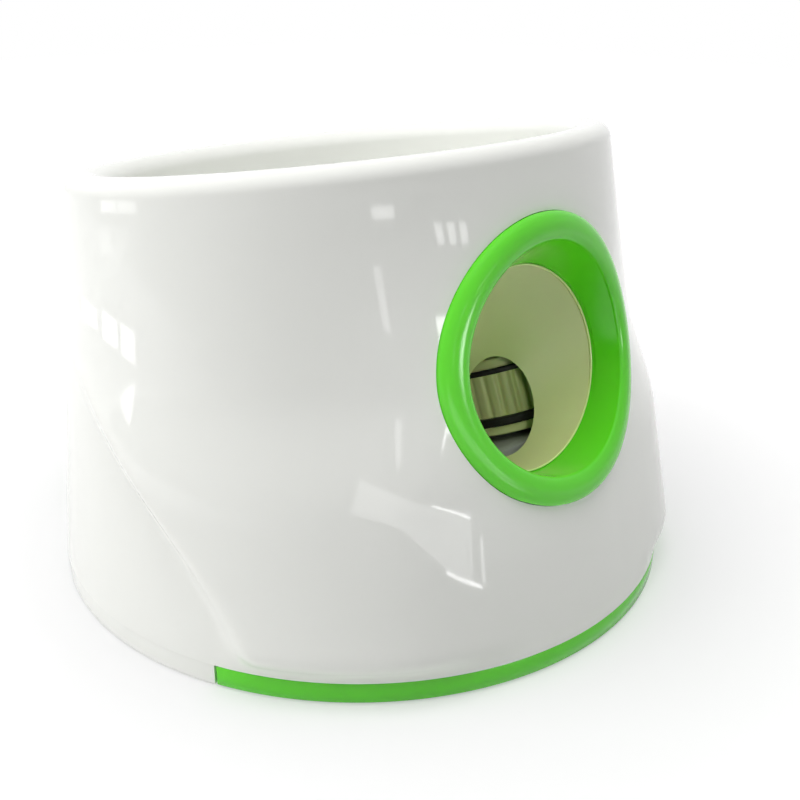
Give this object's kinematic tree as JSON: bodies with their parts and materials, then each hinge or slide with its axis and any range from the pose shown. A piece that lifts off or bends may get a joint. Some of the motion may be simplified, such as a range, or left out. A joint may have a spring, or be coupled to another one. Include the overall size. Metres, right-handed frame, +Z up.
{
  "type": "automatic dog ball launcher",
  "caption": "Tabletop ball launcher for dogs: slanted hopper on a bucket-shaped shell, a ring muzzle, motor-driven wheels that throw the ball, and a rear panel.",
  "frame": {"origin": "on the floor, under the middle of the box round the whole part", "axes": "+Z up, the ball flies out towards -Y, X = 0 is the plane of symmetry of the shell"},
  "size_m": [0.36, 0.36, 0.2497],
  "materials": {
    "white_gloss_abs": "injection moulded, glossy",
    "white_matte_pp": "injection moulded, satin",
    "green_gloss_abs": "injection moulded, glossy",
    "cream_abs": "injection moulded, satin",
    "black_rubber": "moulded rubber",
    "grey_abs": "injection moulded, fine texture",
    "green_matte_abs": "injection moulded, satin",
    "dark_grey_abs": "injection moulded, fine texture",
    "button_white": "injection moulded",
    "button_green": "injection moulded",
    "lamp_green": "clear moulded lens",
    "zinc_steel": "zinc plated",
    "ground_steel": "ground",
    "motor_can": "rolled and plated",
    "nickel_contact": "nickel plated",
    "servo_blue": "injection moulded",
    "black_abs": "injection moulded",
    "circuit_board": "solder mask over glass laminate"
  },
  "bodies": {
    "root": {"main_shell": "white_gloss_abs", "hopper_bowl": "white_matte_pp", "muzzle_ring": "green_gloss_abs", "launch_throat": "cream_abs", "base_trim_ring": "green_gloss_abs", "base_plate": "grey_abs", "door_hinge_pin": "zinc_steel", "rubber_feet": "black_rubber", "base_screws": "zinc_steel", "battery_springs": "nickel_contact", "battery_contacts": "nickel_contact", "launch_deck": "grey_abs", "left_motor": "motor_can", "right_motor": "motor_can", "motor_screws": "zinc_steel", "deck_screws": "zinc_steel", "feed_chute": "grey_abs", "gate_servo": "servo_blue", "infrared_emitter": "black_abs", "infrared_receiver": "black_abs", "control_panel": "dark_grey_abs", "indicator_lenses": "lamp_green", "control_board": "circuit_board", "tact_switches": "black_abs", "beeper": "black_abs", "power_socket": "black_abs", "board_screws": "zinc_steel"},
    "left_wheel": {"left_launch_wheel": "cream_abs", "left_wheel_tyres": "black_rubber", "left_motor_shaft": "ground_steel", "left_wheel_nut": "ground_steel"},
    "right_wheel": {"right_launch_wheel": "cream_abs", "right_wheel_tyres": "black_rubber", "right_motor_shaft": "ground_steel", "right_wheel_nut": "ground_steel"},
    "gate": {"ball_gate": "green_matte_abs"},
    "power_key": {"power_button": "button_green"},
    "distance_key": {"distance_button": "button_white"},
    "door": {"battery_door": "grey_abs"}
  },
  "joints": [
    {"name": "left_wheel_spin", "type": "hinge", "parent": "root", "child": "left_wheel", "pos_m": [-0.05537, -0.06454, 0.09463], "axis": [0, 0.3746, 0.9272], "continuous": true},
    {"name": "right_wheel_spin", "type": "hinge", "parent": "root", "child": "right_wheel", "pos_m": [0.05537, -0.06454, 0.09463], "axis": [0, 0.3746, 0.9272], "continuous": true},
    {"name": "gate_swing", "type": "hinge", "parent": "root", "child": "gate", "pos_m": [0.048, -0.00073, 0.13], "axis": [0, 0, -1], "range_deg": [0, 65]},
    {"name": "power_button_press", "type": "slide", "parent": "root", "child": "power_key", "axis": [0, -0.9776, -0.2105], "range_m": [0, 0.0015], "stiffness_N_per_m": 1500},
    {"name": "distance_button_press", "type": "slide", "parent": "root", "child": "distance_key", "axis": [0, -0.9776, -0.2105], "range_m": [0, 0.0015], "stiffness_N_per_m": 1500},
    {"name": "battery_door_open", "type": "hinge", "parent": "root", "child": "door", "pos_m": [0, 0.1155, 0.007], "axis": [1, 0, 0], "range_deg": [0, 90]}
  ],
  "couplings": [
    {"joint": "right_wheel_spin", "follows": "left_wheel_spin", "ratio": -1}
  ]
}
